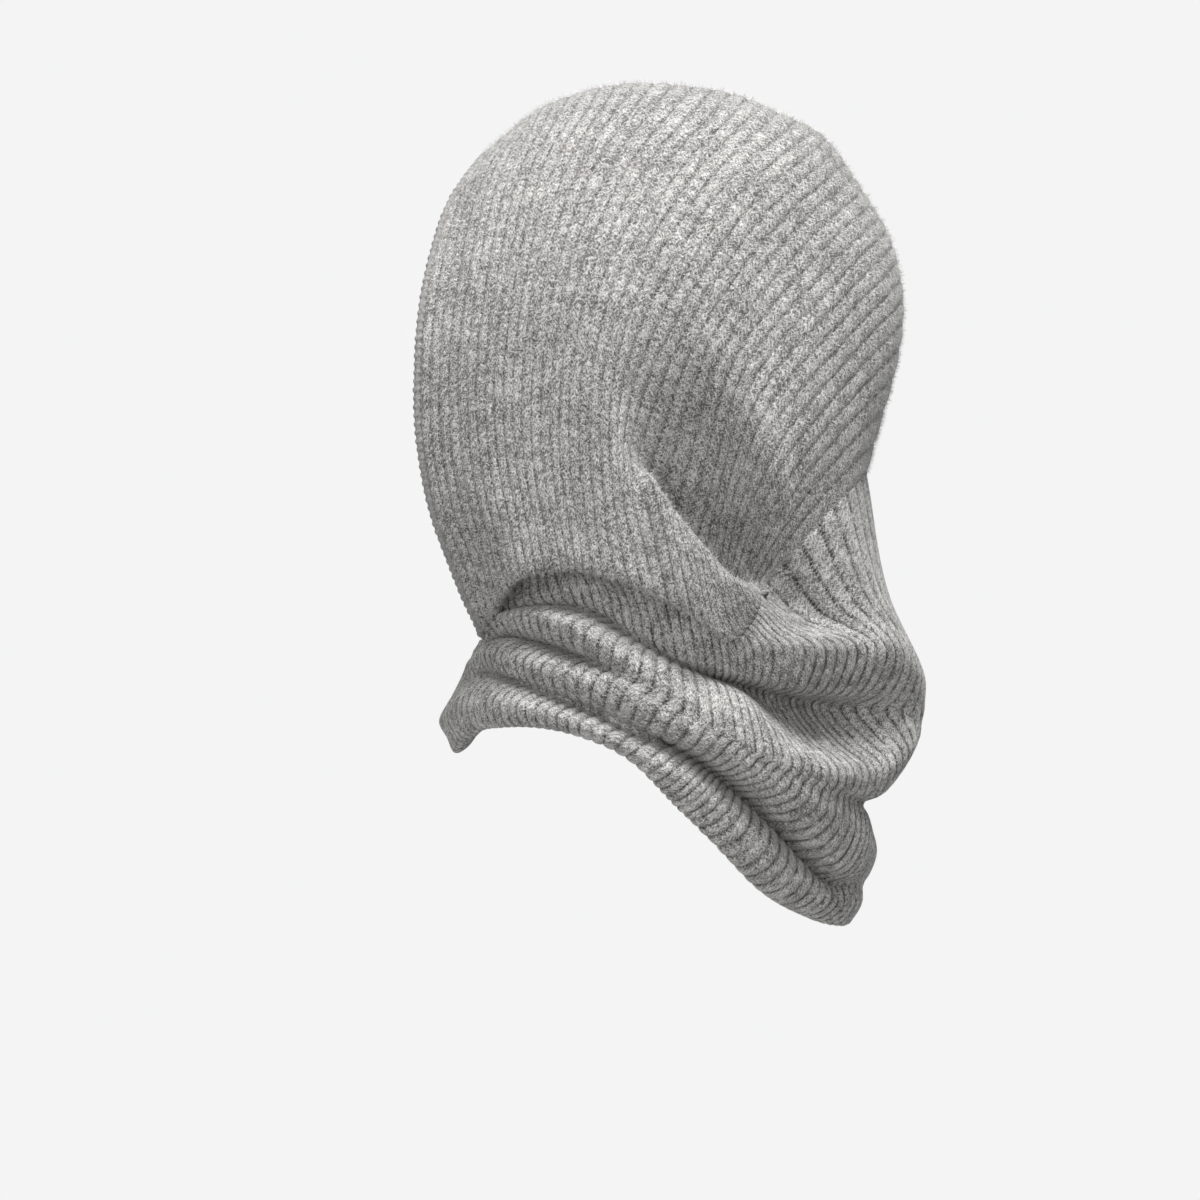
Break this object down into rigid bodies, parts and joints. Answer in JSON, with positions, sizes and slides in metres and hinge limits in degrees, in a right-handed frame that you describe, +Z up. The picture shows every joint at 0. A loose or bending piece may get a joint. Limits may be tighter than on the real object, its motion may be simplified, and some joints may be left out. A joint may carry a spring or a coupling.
{
  "type": "knit hood",
  "caption": "Ribbed wool hood with a closed crown, a face opening with a knitted edge, and a wide neck that lies in soft rolls.",
  "frame": {"origin": "inside of the crown, where it rests on the top of the head", "axes": "+Z up, -Y out of the face opening, +X to the wearer's left"},
  "size_m": [0.195, 0.2304, 0.3801],
  "materials": {
    "hood_knit": "heather grey brushed wool rib",
    "neck_knit": "heather grey brushed wool rib",
    "edge_knit": "heather grey wool, tight edge stitches",
    "seam_yarn": "heather grey wool yarn"
  },
  "bodies": {
    "root": {"hood": "hood_knit", "neck_cowl": "neck_knit", "face_edge": "edge_knit", "back_seam": "seam_yarn"}
  },
  "joints": []
}
